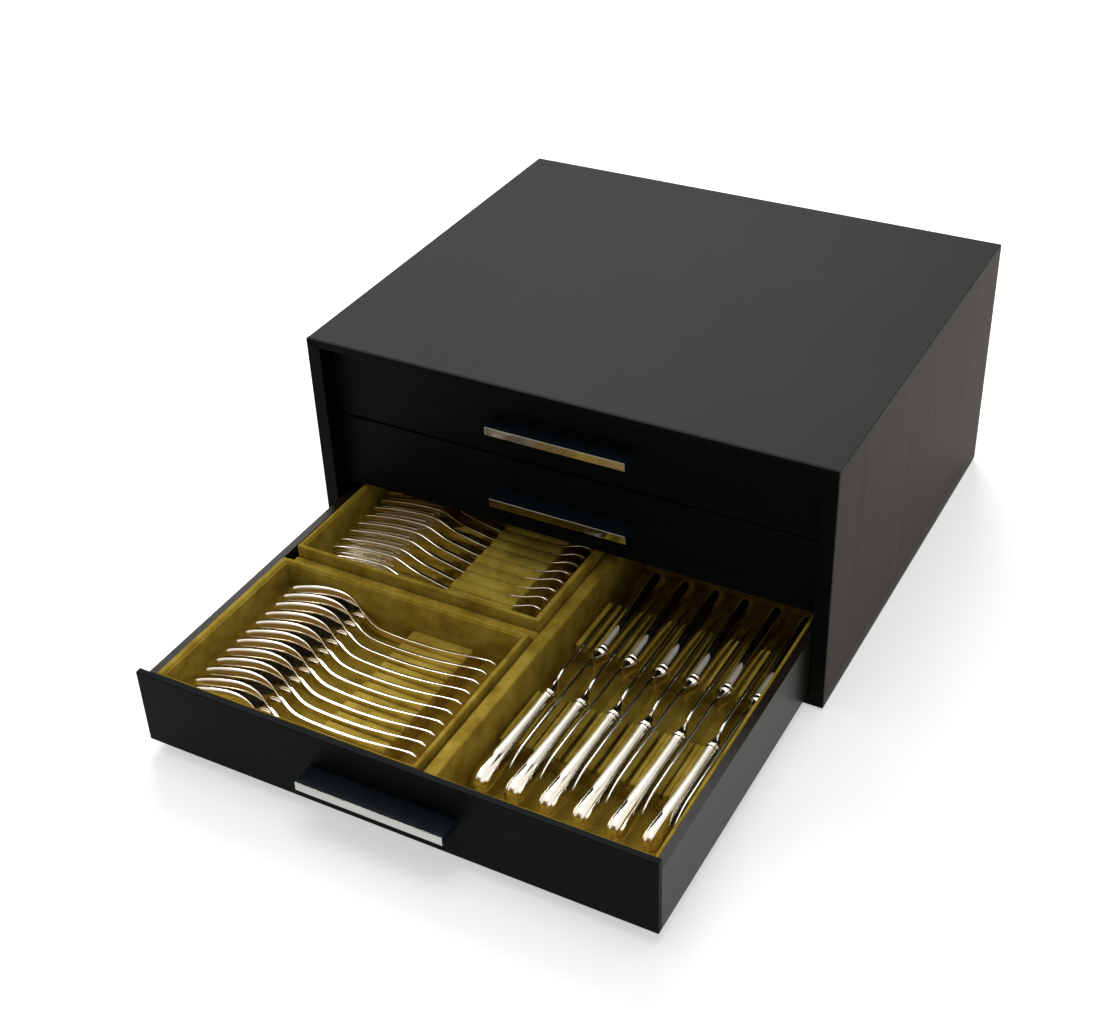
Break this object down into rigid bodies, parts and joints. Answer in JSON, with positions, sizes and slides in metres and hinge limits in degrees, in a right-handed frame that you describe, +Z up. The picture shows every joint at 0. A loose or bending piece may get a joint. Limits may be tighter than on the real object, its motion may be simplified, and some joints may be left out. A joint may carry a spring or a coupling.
{
  "type": "silverware chest",
  "caption": "Lacquered chest with full-width drawers on wooden runners; the lowest stands open on velvet trays and racks that hold spoons, forks and knives on edge",
  "frame": {"origin": "centre of the carcass's footprint, on the surface that the felt pads stand on", "axes": "+X to the right seen from the front, -Y towards the front, where the drawers open, +Z up"},
  "size_m": [0.446, 0.664, 0.217],
  "materials": {
    "dark_lacquer": "satin lacquer",
    "black_lacquer": "satin lacquer",
    "dark_veneer": "satin, fine grain",
    "stained_board": "matt stain",
    "black_metal": "satin",
    "bright_strip": "brushed bright",
    "screw_steel": "plain",
    "black_felt": "felt",
    "silver_plate": "polished",
    "blade_steel": "polished",
    "velvet_rack": "velvet",
    "velvet_lining": "velvet"
  },
  "bodies": {
    "carcass": {"back_panel": "stained_board", "back_panel_screws": "screw_steel", "base_panel": "stained_board", "drawer_stop_blocks": "stained_board", "felt_pads": "black_felt", "front_lipping_base": "black_lacquer", "front_lipping_left": "black_lacquer", "front_lipping_right": "black_lacquer", "front_lipping_top": "black_lacquer", "left_runners": "stained_board", "left_side_panel": "dark_veneer", "right_runners": "stained_board", "right_side_panel": "dark_veneer", "top_panel": "dark_lacquer"},
    "top_drawer": {"top_drawer_back": "dark_veneer", "top_drawer_divider": "velvet_lining", "top_drawer_face": "black_lacquer", "top_drawer_floor": "stained_board", "top_drawer_inner_front": "dark_veneer", "top_drawer_left_side": "dark_veneer", "top_drawer_lining": "velvet_lining", "top_drawer_racks": "velvet_rack", "top_drawer_right_side": "dark_veneer", "top_pull_ledge": "black_metal", "top_pull_screws": "screw_steel", "top_pull_strip": "bright_strip"},
    "middle_drawer": {"middle_drawer_back": "dark_veneer", "middle_drawer_divider": "velvet_lining", "middle_drawer_face": "black_lacquer", "middle_drawer_floor": "stained_board", "middle_drawer_inner_front": "dark_veneer", "middle_drawer_left_side": "dark_veneer", "middle_drawer_lining": "velvet_lining", "middle_drawer_racks": "velvet_rack", "middle_drawer_right_side": "dark_veneer", "middle_pull_ledge": "black_metal", "middle_pull_screws": "screw_steel", "middle_pull_strip": "bright_strip"},
    "bottom_drawer": {"bottom_drawer_back": "dark_veneer", "bottom_drawer_face": "black_lacquer", "bottom_drawer_floor": "stained_board", "bottom_drawer_inner_front": "dark_veneer", "bottom_drawer_left_side": "dark_veneer", "bottom_drawer_lining": "velvet_lining", "bottom_drawer_right_side": "dark_veneer", "bottom_pull_ledge": "black_metal", "bottom_pull_screws": "screw_steel", "bottom_pull_strip": "bright_strip", "centre_divider": "velvet_lining", "cross_divider": "velvet_lining", "fork_rack": "velvet_rack", "fork_tray": "velvet_lining", "front_knife_rack": "velvet_rack", "knife_blades": "blade_steel", "knife_handles": "silver_plate", "rear_knife_rack": "velvet_rack", "spoon_rack": "velvet_rack", "spoon_tray": "velvet_lining", "table_forks": "silver_plate", "table_spoons": "silver_plate"}
  },
  "joints": [
    {"name": "top_drawer_slide", "type": "slide", "parent": "carcass", "child": "top_drawer", "axis": [0, -1, 0], "range_m": [0, 0.3]},
    {"name": "middle_drawer_slide", "type": "slide", "parent": "carcass", "child": "middle_drawer", "axis": [0, -1, 0], "range_m": [0, 0.3]},
    {"name": "bottom_drawer_slide", "type": "slide", "parent": "carcass", "child": "bottom_drawer", "axis": [0, -1, 0], "range_m": [-0.276, 0.024]}
  ]
}
